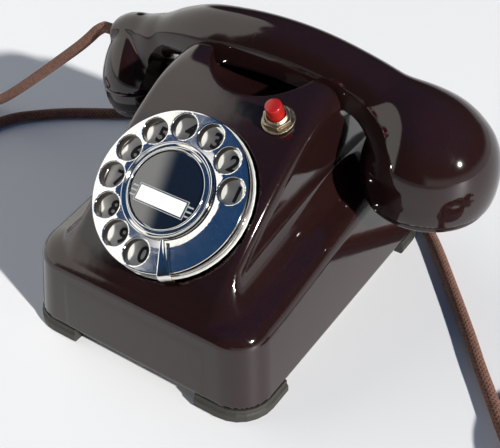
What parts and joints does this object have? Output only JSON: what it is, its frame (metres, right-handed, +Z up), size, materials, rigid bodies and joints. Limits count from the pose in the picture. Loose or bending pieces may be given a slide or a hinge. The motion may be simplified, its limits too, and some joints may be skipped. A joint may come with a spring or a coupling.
{
  "type": "rotary dial desk telephone",
  "caption": "Dark oxblood Bakelite desk telephone with a chrome rotary dial, a red push button, a cradled handset, corner feet and cloth-covered cords.",
  "frame": {"origin": "on the table, under the middle of the telephone's box, free cords apart", "axes": "+X along the handset towards the receiver, -Y the way the dial faces, +Z up"},
  "size_m": [0.5867, 0.2205, 0.1335],
  "materials": {
    "bakelite": "polished dark oxblood phenolic",
    "rubber": "matt aged rubber",
    "chrome": "polished",
    "steel": "plain sheet and turned steel",
    "brass": "dull nickel-plated brass",
    "enamel": "satin grey enamel",
    "black_lacquer": "gloss black",
    "paper": "matt white card",
    "red_plastic": "gloss red",
    "copper_winding": "lacquered winding",
    "paxolin": "paper laminate",
    "braid": "brown cotton braid"
  },
  "bodies": {
    "root": {"body_shell": "bakelite", "line_plug": "bakelite", "foot_front_left": "rubber", "foot_front_right": "rubber", "foot_rear_left": "rubber", "foot_rear_right": "rubber", "line_cord_gland": "rubber", "handset_cord_gland": "rubber", "dial_bezel": "chrome", "finger_stop": "chrome", "base_plate": "steel", "base_screw_front_left": "steel", "base_screw_front_right": "steel", "base_screw_rear_left": "steel", "base_screw_rear_right": "steel", "dial_case": "steel", "hook_bracket": "steel", "gong_post_left": "steel", "gong_post_right": "steel", "ringer_frame": "steel", "capacitor": "steel", "button_washer": "brass", "button_nut": "brass", "button_bush": "brass", "contact_springs": "brass", "gong_left": "brass", "gong_right": "brass", "number_plate": "enamel", "ringer_coil_left": "copper_winding", "ringer_coil_right": "copper_winding", "induction_coil": "copper_winding", "button_contact_block": "paxolin", "terminal_block": "paxolin", "line_cord": "braid", "line_cord_coil": "braid", "handset_cord": "braid", "handset_cord_return": "braid", "handset_cord_coil": "braid"},
    "dial": {"finger_wheel": "chrome", "centre_ring": "chrome", "label_disc": "black_lacquer", "label_card": "paper", "dial_shaft": "steel", "main_gear": "brass"},
    "impulse": {"impulse_wheel": "brass"},
    "button": {"button_cap": "red_plastic"},
    "handset": {"handset_shell": "bakelite", "earpiece_cap": "bakelite", "mouthpiece_cap": "bakelite", "receiver_capsule": "steel", "transmitter_capsule": "steel", "handset_cord_bush": "rubber"},
    "plungers": {"hook_plunger_left": "bakelite", "hook_plunger_right": "bakelite"},
    "hook": {"hook_lever": "steel"},
    "armature": {"ringer_armature": "steel"}
  },
  "joints": [
    {"name": "dial_turn", "type": "hinge", "parent": "root", "child": "dial", "pos_m": [-0.0035, -0.056, 0.0885], "axis": [0, 0.632, -0.7749], "range_deg": [0, 321], "stiffness_Nm_per_rad": 0.004, "springref_deg": -85.94},
    {"name": "impulse_turn", "type": "hinge", "parent": "root", "child": "impulse", "pos_m": [0.0165, -0.056, 0.0885], "axis": [0, 0.632, -0.7749], "range_deg": [-1290, 0]},
    {"name": "button_press", "type": "slide", "parent": "root", "child": "button", "axis": [0, 0.4281, -0.9037], "range_m": [0, 0.0025], "stiffness_N_per_m": 400, "springref_m": -0.002},
    {"name": "handset_lift", "type": "slide", "parent": "root", "child": "handset", "axis": [0, 0, 1], "range_m": [0, 0.085]},
    {"name": "plunger_rise", "type": "slide", "parent": "root", "child": "plungers", "axis": [0, 0, 1], "range_m": [0, 0.0052]},
    {"name": "hook_swing", "type": "hinge", "parent": "root", "child": "hook", "pos_m": [-0.0035, 0.014, 0.0832], "axis": [1, 0, 0], "range_deg": [0, 11.5]},
    {"name": "armature_rock", "type": "hinge", "parent": "root", "child": "armature", "pos_m": [-0.0035, 0.014, 0.038], "axis": [0, 0, 1], "range_deg": [-3.6, 3.6], "stiffness_Nm_per_rad": 0.05}
  ],
  "couplings": [
    {"joint": "impulse_turn", "follows": "dial_turn", "ratio": -4},
    {"joint": "plunger_rise", "follows": "handset_lift", "ratio": 0.06},
    {"joint": "hook_swing", "follows": "handset_lift", "rad_per_m": 2.3}
  ]
}
